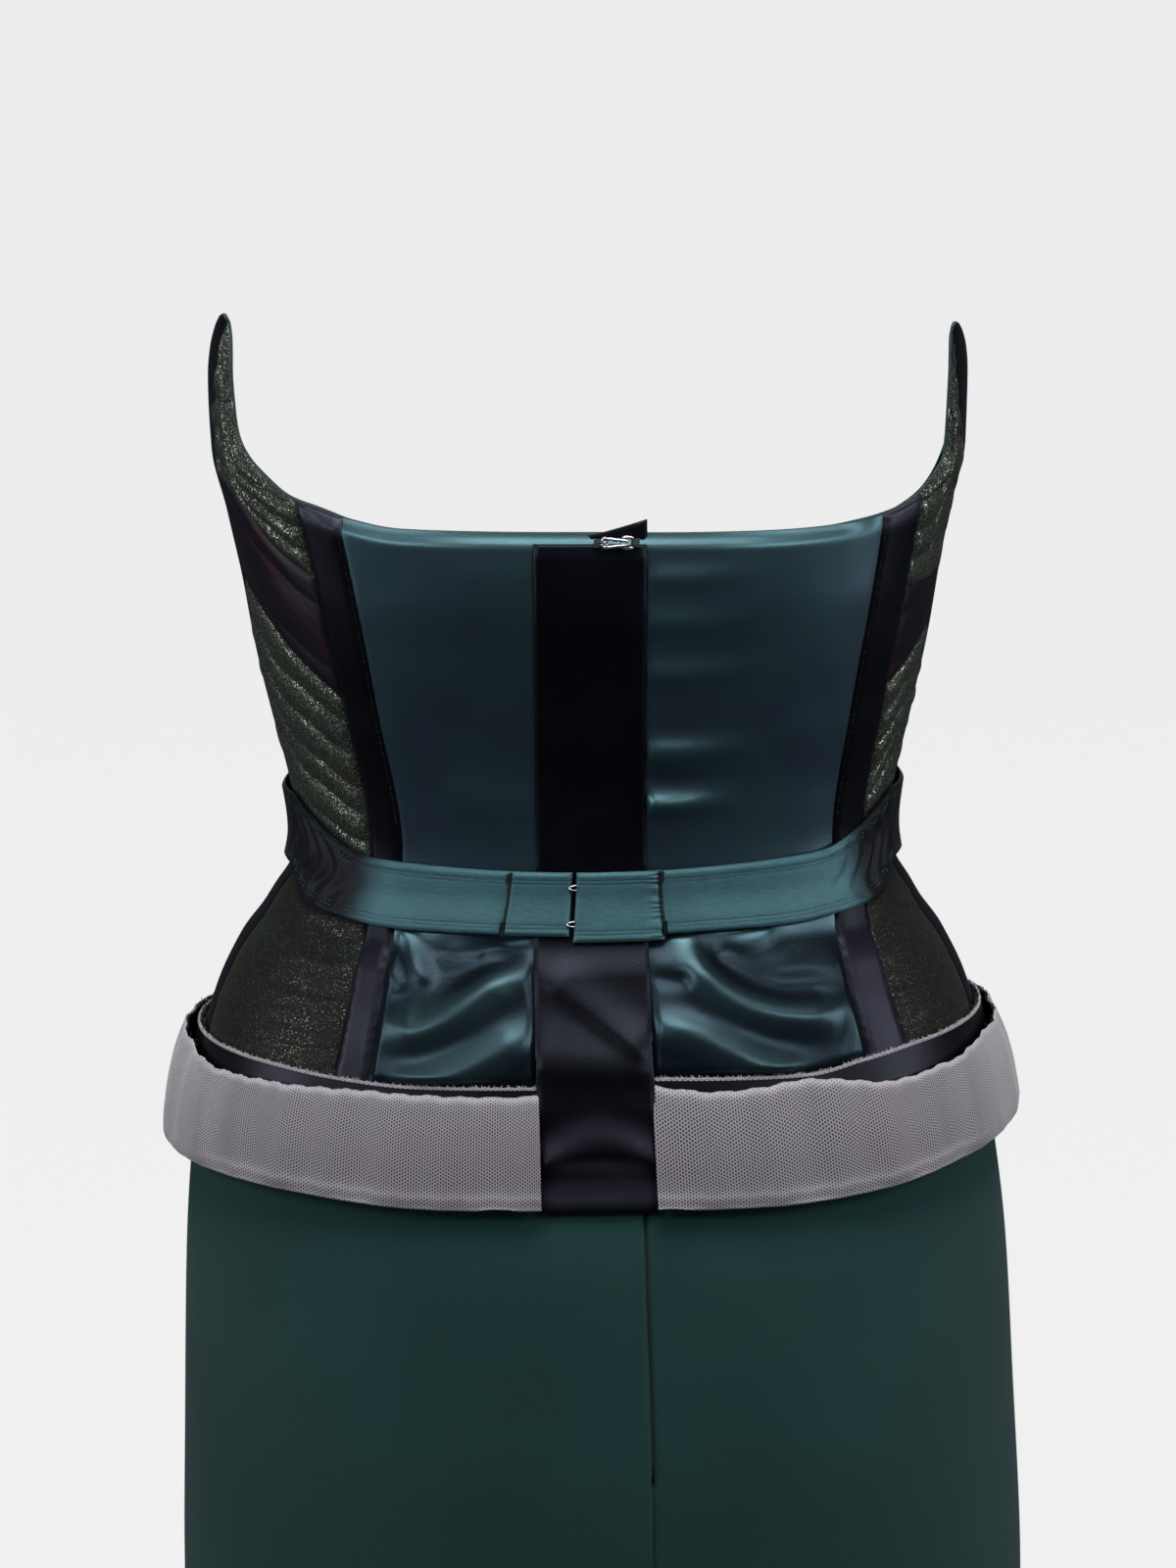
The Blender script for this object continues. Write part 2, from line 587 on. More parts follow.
class Finish:
    """One procedural material of the dress."""

    def __init__(self, name, **constants):
        self.material = bpy.data.materials.new(name)
        self.material.use_nodes = True
        self.tree = self.material.node_tree
        self.shader = self.tree.nodes["Principled BSDF"]
        for socket, value in constants.items():
            self.shader.inputs[socket.replace("_", " ")].default_value = value

    def node(self, kind, settings=None, inputs=None, output=0):
        """A node with its settings, then the values and links of its sockets; gives one output."""
        made = self.tree.nodes.new(kind)
        for setting, value in (settings or {}).items():
            setattr(made, setting, value)
        for socket, value in (inputs or {}).items():
            if isinstance(value, Varying):
                self.tree.links.new(value.socket, made.inputs[socket])
            else:
                made.inputs[socket].default_value = value
        return Varying(self, made.outputs[output])

    def read(self, attribute, output="Fac"):
        """A number or vector that the mesh carries."""
        return self.node("ShaderNodeAttribute", {"attribute_name": attribute}, output=output)

    def on_cloth(self, along=1.0, upward=1.0):
        """Places on the flat cloth in metres, scaled along its width and its length."""
        return self.node("ShaderNodeVectorMath", {"operation": "MULTIPLY"},
                         {0: self.read("cloth", "Vector"), 1: (along, upward, 1.0)})

    def noise(self, scale, detail=3.0, roughness=0.5, stretch=(1.0, 1.0), place=None):
        """Noise over the flat cloth, or over other places."""
        inputs = {"Vector": place or self.on_cloth(*stretch), "Scale": scale, "Detail": detail,
                  "Roughness": roughness}
        return self.node("ShaderNodeTexNoise", inputs=inputs, output="Fac")

    def mix(self, share, a, b):
        """A colour between two colours."""
        made = self.tree.nodes.new("ShaderNodeMix")
        made.data_type = "RGBA"
        for index, value in ((0, share), (6, a), (7, b)):
            if isinstance(value, Varying):
                self.tree.links.new(value.socket, made.inputs[index])
            else:
                made.inputs[index].default_value = (*value, 1.0) if index else value
        return Varying(self, made.outputs[2])

    def feed(self, socket, value):
        self.tree.links.new(value.socket, self.shader.inputs[socket])

    def finished(self, colour, roughness=None, relief=None, strength=1.0, distance=0.0003):
        """The material with its colour, and its roughness and surface relief where they vary."""
        self.feed("Base Color", colour)
        if roughness:
            self.feed("Roughness", roughness)
        if relief:
            bump = {"Height": relief, "Strength": strength, "Distance": distance}
            self.feed("Normal", self.node("ShaderNodeBump", inputs=bump))
        return self.material


def toned(colour, by, plus=0.0):
    """A colour made lighter or darker."""
    return tuple(by * channel + plus for channel in colour)


def night_satin():
    """Blue-green satin whose sheen drifts from teal to navy."""
    f = Finish("night_satin", Metallic=0.85, Specular_IOR_Level=0.5)
    cloud = f.noise(17.0, 2.0, 0.45, (1.0, 0.8))
    grain = f.noise(2600.0, 2.0, 0.6, (1.0, 0.35))
    navy = f.mix(cloud.between(0.38, 0.66), (0.056, 0.084, 0.128), (0.060, 0.125, 0.152))
    fold, speck = f.read("fold"), grain.between(0.3, 0.7) * 0.30
    bodice = f.mix(speck, f.mix(fold, navy, (0.080, 0.182, 0.198)), (0.115, 0.205, 0.225))
    swag = f.mix(speck, f.mix(fold, (0.009, 0.016, 0.026), (0.042, 0.084, 0.098)), (0.050, 0.090, 0.104))
    return f.finished(f.mix(f.read("swag"), bodice, swag), 0.31 + grain * 0.09, grain, 0.25, 0.0002)


def black_satin(name="black_satin", colour=(0.0016, 0.0015, 0.0026)):
    """Black satin with a faint blue-grey sheen and a stitch line along its long edges."""
    f = Finish(name, Specular_IOR_Level=0.26, Specular_Tint=(0.68, 0.76, 1.0, 1.0))
    grain = f.noise(2400.0, 2.0, 0.6, (1.0, 0.4))
    dark = f.mix(f.noise(24.0, 2.0).between(0.4, 0.7), colour, toned(colour, 1.8, 0.0008))
    sheen, groove = f.read("sheen"), f.read("from_side").near(CASING_INSET, 0.0003)
    f.feed("Metallic", sheen * 0.9)
    return f.finished(f.mix(sheen, dark, (0.085, 0.082, 0.120)), 0.29 + grain * 0.09,
                      grain - groove * 2.0, 0.35, 0.0002)


def plum_satin():
    """Plum-black satin of the sash, wine where it turns."""
    f = Finish("plum_satin", Metallic=0.45, Specular_IOR_Level=0.35)
    wine = f.noise(26.0, 2.0, stretch=(1.0, 1.6)).between(0.42, 0.68)
    grain = f.noise(2200.0, 2.0, 0.6, (0.5, 1.0))
    return f.finished(f.mix(wine, (0.012, 0.010, 0.018), (0.030, 0.009, 0.014)), 0.38 + grain * 0.10,
                      grain, 0.25, 0.0002)


def glitter(name, ground, tint, speck, amount, threads):
    """Lame or net: dull threads strewn with metallic flakes that each tilt their own way."""
    f = Finish(name, Specular_IOR_Level=0.25, Sheen_Weight=0.07, Sheen_Roughness=0.5,
               Sheen_Tint=(0.8, 0.9, 0.7, 1.0))
    patchy = f.noise(70.0, 3.0, 0.6, (1.0, 1.8))
    thread = f.noise(threads, 3.0, 0.65, (0.22, 1.0))
    cell = f.node("ShaderNodeTexVoronoi", {"feature": "F1"}, {"Vector": f.on_cloth(), "Scale": 2300.0},
                  output="Color")
    flake = f.node("ShaderNodeSeparateColor", inputs={0: cell})
    far = Varying(f, cell.socket.node.outputs["Distance"])
    bright = flake.between(1.0 - amount, 1.04 - amount)
    lit = bright * (1 - far.between(0.35, 0.65)) * patchy.between(0.22, 0.58)
    cloth = f.mix(thread.between(0.30, 0.75), toned(ground, 0.75), toned(ground, 1.25))
    cloth = f.mix(f.noise(38.0, 1.0).between(0.50, 0.75) * 0.6, cloth, tint)
    f.feed("Metallic", 0.25 + lit * 0.7)
    return f.finished(f.mix(lit, cloth, speck), 0.55 - lit * 0.28, thread + flake * 0.4, 0.22, 0.00012)


def belt_satin():
    """Teal satin of the belt with crosswise brushing, navy round the sides."""
    f = Finish("belt_satin", Metallic=0.30, Specular_IOR_Level=0.24, Sheen_Weight=0.03)
    streak = f.noise(1800.0, 3.0, 0.6, (0.10, 1.0))
    fleck = f.noise(900.0, 2.0, 0.6)
    teal = f.mix(streak.between(0.3, 0.7) * 0.5 + fleck.between(0.45, 0.75) * 0.3,
                 (0.052, 0.150, 0.176), (0.112, 0.232, 0.262))
    teal = f.mix(f.noise(30.0, 2.0).between(0.35, 0.7) * 0.35, teal, (0.050, 0.120, 0.150))
    from_edge = f.read("from_edge")
    stitched = from_edge.near(BELT_ROWS[0], 0.00028) + from_edge.near(BELT_ROWS[1], 0.00028)
    teal = f.mix(stitched * 0.45, teal, (0.016, 0.050, 0.060))
    return f.finished(f.mix(f.read("round_side"), teal, (0.0028, 0.0046, 0.0085)), 0.42 + streak * 0.15,
                      streak + fleck * 0.5 - stitched * 2.0, 0.35)


def silver_net():
    """Mauve-grey net: six-sided holes in upright columns, brighter along its folds and edges."""
    f = Finish("silver_net", Metallic=0.10, Roughness=0.5, Specular_IOR_Level=0.4, Sheen_Weight=0.65,
               Sheen_Roughness=0.35)
    s = f.node("ShaderNodeSeparateXYZ", inputs={0: f.on_cloth()})
    t = Varying(f, s.socket.node.outputs[1])
    wave = math.tau / NET_PITCH
    across, up = s * (wave / 2), t * (wave * 0.866)
    hexagon = (s * wave).cosine() + (across + up).cosine() + (across - up).cosine()
    hole, edge_share = hexagon.between(-0.6, 1.3), f.read("edge")
    tone = f.mix(f.noise(22.0, 2.0).between(0.55, 0.75) * 0.5, (0.37, 0.345, 0.375), (0.40, 0.285, 0.335))
    tone = f.mix(edge_share, tone, (0.76, 0.72, 0.76))
    return f.finished(f.mix(hole * (0.97 - edge_share * 0.55), tone, (0.012, 0.011, 0.015)),
                      relief=1 - hole, strength=0.5)


def green_crepe():
    """Matt dark green crepe with its pebbled face."""
    f = Finish("green_crepe", Roughness=0.86, Specular_IOR_Level=0.25, Sheen_Weight=0.10,
               Sheen_Roughness=0.6)
    pebble = f.noise(1500.0, 3.0, 0.7)
    green = f.mix(f.noise(9.0, 2.0).between(0.35, 0.65), (0.0056, 0.046, 0.045), (0.0086, 0.057, 0.053))
    return f.finished(f.mix(pebble.between(0.35, 0.65) * 0.35, green, (0.018, 0.060, 0.054)),
                      relief=pebble, strength=0.6, distance=0.0004)


def lining():
    """Dark green lining and facing."""
    f = Finish("green_lining", Metallic=0.2, Specular_IOR_Level=0.5)
    grain = f.noise(1200.0, 2.0, 0.6, (1.0, 0.3))
    return f.finished(f.mix(grain.between(0.3, 0.7), (0.008, 0.034, 0.030), (0.016, 0.060, 0.052)),
                      0.42 + grain * 0.15, grain, 0.3, 0.0002)


def nickel():
    """Nickel of the hooks, a little dulled."""
    f = Finish("silver_metal", Metallic=1.0)
    rub = f.noise(900.0, place=f.node("ShaderNodeTexCoord", output="Object"))
    tone = f.mix(rub.between(0.4, 0.7), (0.78, 0.78, 0.80), (0.55, 0.55, 0.58))
    return f.finished(tone, 0.16 + rub * 0.18)


def thread(name, colour):
    """Sewing thread with its twist."""
    f = Finish(name, Roughness=0.6, Specular_IOR_Level=0.4, Sheen_Weight=0.2)
    twist = f.noise(3000.0, 2.0, place=f.node("ShaderNodeTexCoord", output="Object"))
    return f.finished(f.mix(twist.between(0.35, 0.7), colour, toned(colour, 1.8, 0.004)),
                      relief=twist, strength=0.5, distance=0.0002)


FINISHES = {
    "night_satin": night_satin(),
    "black_satin": black_satin(),
    "plum_satin": plum_satin(),
    "glitter_lame": glitter("glitter_lame", (0.0230, 0.0275, 0.0205), (0.012, 0.036, 0.024),
                            (0.46, 0.52, 0.40), 0.30, 1500.0),
    "hip_mesh": glitter("hip_mesh", (0.0046, 0.0058, 0.0042), (0.004, 0.012, 0.008),
                        (0.20, 0.22, 0.16), 0.13, 1100.0),
    "belt_satin": belt_satin(),
    "silver_net": silver_net(),
    "green_crepe": green_crepe(),
    "silver_metal": nickel(),
    "green_lining": lining(),
    "band_inside": black_satin("band_inside", (0.0040, 0.0032, 0.0040)),
    "black_thread": thread("black_thread", (0.004, 0.004, 0.006)),
    "net_thread": thread("net_thread", (0.40, 0.37, 0.405)),
    "teal_thread": thread("teal_thread", (0.030, 0.075, 0.085)),
    "green_thread": thread("green_thread", (0.006, 0.022, 0.018)),
}


def add_piece(name, points, faces, finish, node=None, cloth=None, marks=None, lined=None, lined_faces=None):
    """A closed mesh with its finish; marks are named values at its points, and some faces may be lined."""
    mesh = bpy.data.meshes.new(name)
    mesh.from_pydata(points.tolist(), [], faces)
    mesh.validate()
    mesh.shade_smooth()
    mesh.set_sharp_from_angle(angle=SHARP_ANGLE)
    mesh.materials.append(FINISHES[finish])
    if lined:
        mesh.materials.append(FINISHES[lined])
        kinds = np.zeros(len(mesh.polygons), dtype=np.int32)
        kinds[lined_faces] = 1
        mesh.polygons.foreach_set("material_index", kinds)
    if cloth is not None:
        mesh.attributes.new("cloth", "FLOAT_VECTOR", "POINT").data.foreach_set("vector", cloth.ravel())
    for label, values in (marks or {}).items():
        mesh.attributes.new(label, "FLOAT", "POINT").data.foreach_set("value", values)
    piece = bpy.data.objects.new(name, mesh)
    bpy.context.scene.collection.objects.link(piece)
    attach(piece, "root")
    if node:
        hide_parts(node)


def shell(name, node, finish, inner, outer, s, t, marks=None, lined=None, bare_rows=0):
    """A closed cloth between two grids of points; its lining leaves the first rows bare."""
    rows, columns = s.shape
    count = rows * columns
    index = np.arange(count).reshape(rows, columns)
    front = np.stack([index[:-1, :-1], index[:-1, 1:], index[1:, 1:], index[1:, :-1]], -1).reshape(-1, 4)
    rim = np.concatenate([index[0, :-1], index[:-1, -1], index[-1, :0:-1], index[:0:-1, 0]])
    ahead = np.roll(rim, -1)
    side = np.stack([ahead, rim, count + rim, count + ahead], -1)
    faces = np.concatenate([front, count + front[:, ::-1], side]).tolist()
    points = np.concatenate([outer.reshape(-1, 3), inner.reshape(-1, 3)])
    flat = np.stack([s, t, 0.0 * s], -1).reshape(-1, 3)
    cloth = np.concatenate([flat, flat + (0.0, 0.0, 0.5)])
    twice = {label: np.concatenate([values.ravel()] * 2) for label, values in (marks or {}).items()}
    lined_faces = slice(len(front) + bare_rows * (columns - 1), 2 * len(front))
    add_piece(name, points, faces, finish, node, cloth, twice, lined, lined_faces)


def drape(name, node, finish, patch, lift, relief=0.0, wall=CLOTH, thin=0.5, rolled=0.0,
          lined="green_lining", marks=None):
    """A cloth over the figure: lift is its inner face, thin its share of thickness at the rim."""
    base = lift + relief
    thickness = wall * (thin + (1 - thin) * ease(patch.rim() / RIM_REACH))
    turn_in = rolled * edge_turn(patch.angle) * (1 - ease(patch.from_top / ROLL_REACH))
    inner = form_point(patch.angle, patch.height, base - turn_in)
    outer = form_point(patch.angle, patch.height, base - turn_in + thickness)
    shell(name, node, finish, inner, outer, patch.s, patch.t, marks, lined)


def clear_of_placket(patch):
    """1 beside the placket and 0 under it."""
    x = patch.place[..., 0]
    near = np.where(x < 0, read_table(PLACKET_LEFT, patch.height), read_table(PLACKET_RIGHT, patch.height))
    return ease((np.abs(x) - near + 0.0005) / 0.0033)


def clear_of_belt(patch):
    """1 above and below the belt and 0 under it."""
    low, high = edge(BELT_LOW)(patch.angle), edge(BELT_TOP)(patch.angle)
    return ease(np.maximum(patch.height - high, low - patch.height) / 0.005 + 0.4)


def clear_of_band(patch):
    """1 above the hip band and 0 behind it."""
    side = turned(patch.angle) < 0
    top = np.where(side, edge(BAND_INNER_TOP_LEFT)(patch.angle), edge(BAND_INNER_TOP_RIGHT)(patch.angle))
    return ease((patch.height - top) / 0.006 + 0.3)


def make_back_satin():
    """Satin back panels with their swags below the belt and a rolled top edge."""
    for word, seams, rows in (
        ("left", (LEFT_CASING[1], ZIP_SEAM), SATIN_LEFT_FOLDS),
        ("right", (ZIP_SEAM, RIGHT_CASING[0]), SATIN_RIGHT_FOLDS),
    ):
        patch = Patch(*seams, edge(HEM), top_edge, SATIN_STEP)
        at_casing, at_zip = patch.from_left, patch.from_right
        ridges = ridge_field(patch, rows)
        if word == "right":
            at_casing, at_zip = at_zip, at_casing
            ridges += ridge_field(patch, SATIN_RIGHT_PUCKERS, PUCKER_FADE)
        sewn = ease(at_casing / 0.004) * ease(at_zip / 0.001)
        puffed = 0.0022 * ease((-0.024 - patch.height) / 0.014)
        relief = ridges + puffed + 0.00022 * crumple(patch.s, patch.t, 0.035, 1.0)
        relief = relief * clear_of_placket(patch) * clear_of_belt(patch) * clear_of_band(patch) * sewn
        relief = np.where(patch.height < -0.028, np.maximum(relief, -0.0004), relief)
        swag = ease((SWAG_TOP - patch.height) / 0.006)
        fold = ease((ridges + 0.0006 - 0.0007 * swag) / 0.0030)
        fold = np.maximum(fold, 0.7 * np.exp(-(patch.from_top / 0.02) ** 2))
        drape("satin_" + word, "back_satin_" + word, "night_satin", patch, corset_lift(patch.height),
              relief, thin=0.85, rolled=1.0, marks={"fold": fold, "swag": swag})


def make_placket():
    """Black satin strip over the zip, whose free end hangs over the hip band."""
    patch = Patch(distance_seam(PLACKET_LEFT, -1), distance_seam(PLACKET_RIGHT, 1), level(PLACKET_END),
                  shifted(top_edge, -PLACKET_DROP), PLACKET_STEP)
    hang = ease((-0.045 - patch.height) / 0.04)
    on_cloth = corset_lift(patch.height) + WALL + LAY_GAP
    lift = on_cloth + (PLACKET_TAB_LIFT - on_cloth) * hang
    lift = lift - 0.0031 * ease((-0.0835 - patch.height) / 0.017)
    below = ease((-0.024 - patch.height) / 0.008)
    soft = 0.0003 * hang * crumple(patch.s, patch.t, 0.02, 2.0)
    relief = ridge_field(patch, PLACKET_FOLDS) * below + soft
    relief = np.maximum(relief, -0.6 * (lift - corset_lift(patch.height) - CLOTH))
    side = patch.side()
    lift = lift - LAY_GAP * (1 - ease(side / 0.0018)) * ease((patch.height - 0.006) / 0.004)
    drape("placket_strip", "back_placket", "black_satin", patch, lift, relief, wall=STRIP_WALL, rolled=0.4,
          marks={"from_side": side, "sheen": 1000 * ridge_field(patch, PLACKET_SHEEN)})


def sheen_share(patch):
    """Where black satin shines purple-grey: along the top edge, and a little over the hips."""
    top = 0.48 * np.exp(-(patch.from_top / 0.0065) ** 4)
    return np.maximum(top, 0.19 * ease((-0.018 - patch.height) / 0.02))


def make_casings():
    """Bone casings, padded along the middle by the bone inside."""
    for word, seams in (("left", LEFT_CASING), ("right", RIGHT_CASING)):
        patch = Patch(*seams, edge(HEM), top_edge, CASING_STEP)
        side = patch.side()
        bone = 0.0005 * ease((side - 0.0012) / 0.0025)
        at_stitch = np.exp(-((side - 0.001) / 0.001) ** 2)
        wrinkle = 0.00018 * np.sin(patch.t * 900 + 2 * np.sin(patch.t * 210)) * at_stitch
        drape("casing_" + word, "bone_casing_" + word, "black_satin", patch,
              corset_lift(patch.height) + 0.0002, bone + wrinkle * clear_of_belt(patch),
              wall=CLOTH + CASING_PROUD, thin=0.30, rolled=1.0,
              marks={"from_side": side, "sheen": sheen_share(patch)})


def waist(angle):
    """Height of the middle of the belt."""
    return (edge(BELT_TOP)(angle) + edge(BELT_LOW)(angle)) / 2


def make_side_backs():
    """Each side back: gathered lame, the sash across it, more lame, and net over the hip."""
    for side, word, casing, sash_top, sash_low, laps in (
        (-1, "left", LEFT_CASING[0], edge(SASH_TOP_LEFT), edge(SASH_LOW_LEFT), SCALLOPS_LEFT),
        (1, "right", RIGHT_CASING[1], edge(SASH_TOP_RIGHT), edge(SASH_LOW_RIGHT), SCALLOPS_RIGHT),
    ):
        for stem, node, cloth, low, high, step, rows, grain in (
            ("lame_top_", "lame_upper_", "glitter_lame", sash_top, top_edge, 0.0007, LAME_TOP_GATHERS,
             0.00012),
            ("sash_fold_", "sash_", "plum_satin", sash_low, sash_top, 0.0010, SASH_GATHERS, 0.00015),
            ("lame_low_", "lame_lower_", "glitter_lame", waist, sash_low, 0.0010, LAME_LOW_GATHERS,
             0.00018),
            ("hip_ruche_", "hip_net_", "hip_mesh", edge(HEM), waist, 0.0011, NET_GATHERS, 0.00020),
        ):
            over = stem == "lame_top_"
            seam = scalloped(SIDE_SEAMS[side], side, laps) if over else SIDE_SEAMS[side]
            patch = Patch(*(casing, seam)[::side], low, high, step, crowd=word if over else "")
            toward = patch.u if side > 0 else 1 - patch.u
            sway = 0.022 * np.sin(5.3 * toward + 1.3 * side) + 0.012 * np.sin(13 * toward)
            relief = gathers(patch.v + sway, toward, rows)
            relief += grain * crumple(0.3 * patch.s, patch.t, 0.008, 3.0 + side)
            near = ease((patch.rim() + 0.0006) / 0.0045)
            relief = relief * near * clear_of_belt(patch) * clear_of_band(patch)
            lapped = 0.0009 * ease((toward - 0.90) / 0.06) * ease(patch.from_top / 0.008) if over else 0.0
            drape(stem + word, node + word, cloth, patch, corset_lift(patch.height) + lapped, relief,
                  rolled=1.0 if over else 0.0)


def make_front():
    """Side fronts, which turn round the figure's sides, and the centre front."""
    for name, node, finish, left, right in (
        ("side_panel_left", "side_front_left", "black_satin", FRONT_SEAMS[-1], SIDE_SEAMS[-1]),
        ("side_panel_right", "side_front_right", "black_satin", SIDE_SEAMS[1], FRONT_SEAMS[1]),
        ("centre_panel", "front_centre", "night_satin", FRONT_SEAMS[1],
         lambda height: math.tau + FRONT_SEAMS[-1](height)),
    ):
        patch = Patch(left, right, edge(HEM), top_edge, FRONT_STEP)
        soft = 0.0003 * crumple(patch.s, patch.t, 0.05, 4.0) * clear_of_belt(patch) * clear_of_band(patch)
        marks = {"from_side": patch.side(), "fold": 0.2 + 0 * patch.u}
        drape(name, node, finish, patch, corset_lift(patch.height), soft * ease(patch.rim() / 0.006),
              rolled=1.0, marks=marks)


def navy_share(patch):
    """1 where the belt turns navy at the sides, 0 over the back and the front."""
    around = degrees_from_back(patch.angle)
    start = np.where(turned(patch.angle) < 0, 36, 47)
    return ease((around - start) / 11) * (1 - ease((around - 125) / 20))


def make_belt():
    """Belt round the waist with stitch channels, and its two tabs."""
    band_end = math.tau + angle_of(EYE_TAB[0], 0.0)
    tab_sides = [straight(angle_of(place, 0.0)) for place in (*EYE_TAB, *HOOK_TAB)]
    for name, node, left, right, low, step in (
        ("belt_band", "waist_belt", tab_sides[3], straight(band_end), edge(BELT_LOW), BELT_STEP),
        ("eye_tab", "belt_eye_tab", tab_sides[0], tab_sides[1], edge(BELT_LOW), TAB_STEP),
        ("hook_tab", "belt_hook_tab", tab_sides[2], tab_sides[3], shifted(edge(BELT_LOW), -HOOK_TAB_EXTRA),
         TAB_STEP),
    ):
        patch = Patch(left, right, low, edge(BELT_TOP), step)
        border = np.minimum(patch.from_low, patch.from_top)
        around = degrees_from_back(patch.angle)
        channel = sum(np.exp(-((border - row) / 0.0004) ** 2) for row in BELT_ROWS)
        relief = -0.00018 * channel + 0.00010 * crumple(patch.s, patch.t, 0.012, 5.0)
        side = np.exp(-((around - 62) / 13) ** 2)
        relief += side * 0.0007 * np.sin(patch.s * 620 + 2.4 * np.sin(patch.t * 240)) * ease(border / 0.004)
        if name == "hook_tab":
            pull = np.exp(-(patch.from_right / 0.004) ** 2)
            relief += 0.0004 * pull * np.sin(patch.t * 2300 + 3 * np.sin(patch.t * 500))
            relief -= 0.0009 * np.exp(-(patch.from_right / 0.0016) ** 2)
        drape(name, node, "belt_satin", patch, belt_lift(patch.angle), relief, wall=BELT_THICKNESS,
              thin=0.35, lined=None, marks={"round_side": navy_share(patch), "from_edge": border})


def tube_parts(path, radius, sides):
    """Points and faces of a closed tube along a path; its radius may vary along it."""
    path = np.asarray(path, dtype=float)
    count = len(path)
    radius = np.broadcast_to(radius, count)
    run = np.gradient(path, axis=0)
    run /= np.linalg.norm(run, axis=1)[:, None] + 1e-12
    guide = np.array([0.0, 0.0, 1.0]) if abs(run[0][2]) < 0.8 else np.array([1.0, 0.0, 0.0])
    across = np.cross(run, guide)
    across /= np.linalg.norm(across, axis=1)[:, None] + 1e-12
    upward = np.cross(across, run)
    turn = np.linspace(0, math.tau, sides, endpoint=False)
    cosine, sine = np.cos(turn)[None, :, None], np.sin(turn)[None, :, None]
    ring = across[:, None, :] * cosine + upward[:, None, :] * sine
    points = (path[:, None, :] + ring * radius[:, None, None]).reshape(-1, 3)
    tips = np.stack([path[0] - run[0] * radius[0] * 0.6, path[-1] + run[-1] * radius[-1] * 0.6])
    index = np.arange(count * sides).reshape(count, sides)
    a, b = index[:-1], index[1:]
    quads = np.stack([a, np.roll(a, -1, 1), np.roll(b, -1, 1), b], -1).reshape(-1, 4)
    start, end = count * sides, count * sides + 1
    first, last = index[0], index[-1]
    caps = [[start, int(np.roll(first, -1)[k]), int(first[k])] for k in range(sides)]
    caps += [[end, int(last[k]), int(np.roll(last, -1)[k])] for k in range(sides)]
    return np.concatenate([points, tips]), quads.tolist() + caps


def joined(name, finish, parts, node=None):
    """Closed parts, often many and small, as one mesh."""
    points, faces, count = [], [], 0
    for own_points, own_faces in parts:
        points.append(own_points)
        faces.extend([[k + count for k in face] for face in own_faces])
        count += len(own_points)
    add_piece(name, np.concatenate(points), faces, finish, node)


def stitch_parts(path, pitch, length, radius):
    """Stitches of a given length along a path, each a short thread that dips in at both ends."""
    steps = np.linalg.norm(np.diff(path, axis=0), axis=1)
    run = np.concatenate([[0.0], np.cumsum(steps)])
    parts = []
    for start in np.arange(pitch / 2, run[-1] - length, pitch):
        t = np.array([start, start + length / 2, start + length])
        spots = np.stack([np.interp(t, run, path[:, k]) for k in range(3)], -1)
        parts.append(tube_parts(spots, np.array([0.5, 1.0, 0.5]) * radius, 5))
    return parts


def seam_path(seam, low, high, lift, inset=0.0):
    """A line up a seam, moved along the cloth by inset."""
    height = np.linspace(low, high, 90)
    angle = seam(height)
    angle = angle + angle_step(angle, height, inset)
    return form_point(angle, height, lift(height))


def edge_path(line, start, end, lift, count):
    """A line along an edge between two angles in degrees."""
    angle = np.radians(np.linspace(start, end, count))
    return form_point(angle, line(angle), lift(angle))


def make_stitching():
    """Top stitching of the casings, the side seams and the belt, and the belt's bartacks."""
    proud = CLOTH + CASING_PROUD

    def on_casing(height):
        return corset_lift(height) + proud + 0.0001

    def on_side(height):
        return corset_lift(height) + CLOTH * 0.8

    def on_belt(angle):
        return belt_lift(angle) + BELT_THICKNESS - 0.00010

    rows = [(seam, sign * CASING_INSET, on_casing, ((-0.070, -0.022), (0.020, 0.136)))
            for seam, sign in zip(LEFT_CASING + RIGHT_CASING, (1, -1, 1, -1))]
    rows += [(seam, side * SIDE_INSET, on_side, ((-0.060, -0.006), (0.034, 0.196)))
             for side, seam in SIDE_SEAMS.items()]
    black = []
    for seam, inset, lift, spans in rows:
        for low, high in spans:
            black += stitch_parts(seam_path(seam, low, high, lift, inset), STITCH_PITCH, STITCH_LENGTH,
                                  STITCH_RADIUS)
    joined("casing_stitches", "black_thread", black)
    teal = []
    for line, sign in ((edge(BELT_TOP), -1), (edge(BELT_LOW), 1)):
        for inset in BELT_ROWS:
            row = shifted(line, sign * inset)
            teal += stitch_parts(edge_path(row, 13, 345, on_belt, 700), 0.0023, 0.0016, 0.00014)
    joined("belt_stitches", "teal_thread", teal)
    bars = []
    on_tab = belt_lift(TAB_ANGLE)
    for x, low, high in ((-0.0322, 0.0002, 0.0042), (-0.0322, -0.0190, -0.0145), (0.0254, 0.0, 0.0046),
                         (0.0254, -0.0200, -0.0150)):
        height = np.linspace(low, high, 26)
        zig = x + 0.0011 * np.where(np.arange(26) % 2 == 0, -1, 1)
        bars.append(tube_parts(form_point(angle_of(zig, 0.0), height, on_tab + BELT_THICKNESS), 0.00022, 5))
    for x in (EYE_TAB[0], HOOK_TAB[1]):
        height = np.linspace(-0.0200, 0.0046, 70)
        wander = x + 0.00025 * np.sin(height * 5200) + 0.00015 * np.sin(height * 12700)
        path = form_point(angle_of(wander, 0.0), height, on_tab + BELT_THICKNESS * 0.9)
        bars.append(tube_parts(path, 0.00032, 5))
    joined("belt_bartacks", "black_thread", bars)


def mirrored(half):
    """A wire's points in mm and their mirror image across it; the last point lies on the mirror."""
    return half + [(x, -y, z) for x, y, z in half[-2::-1]]


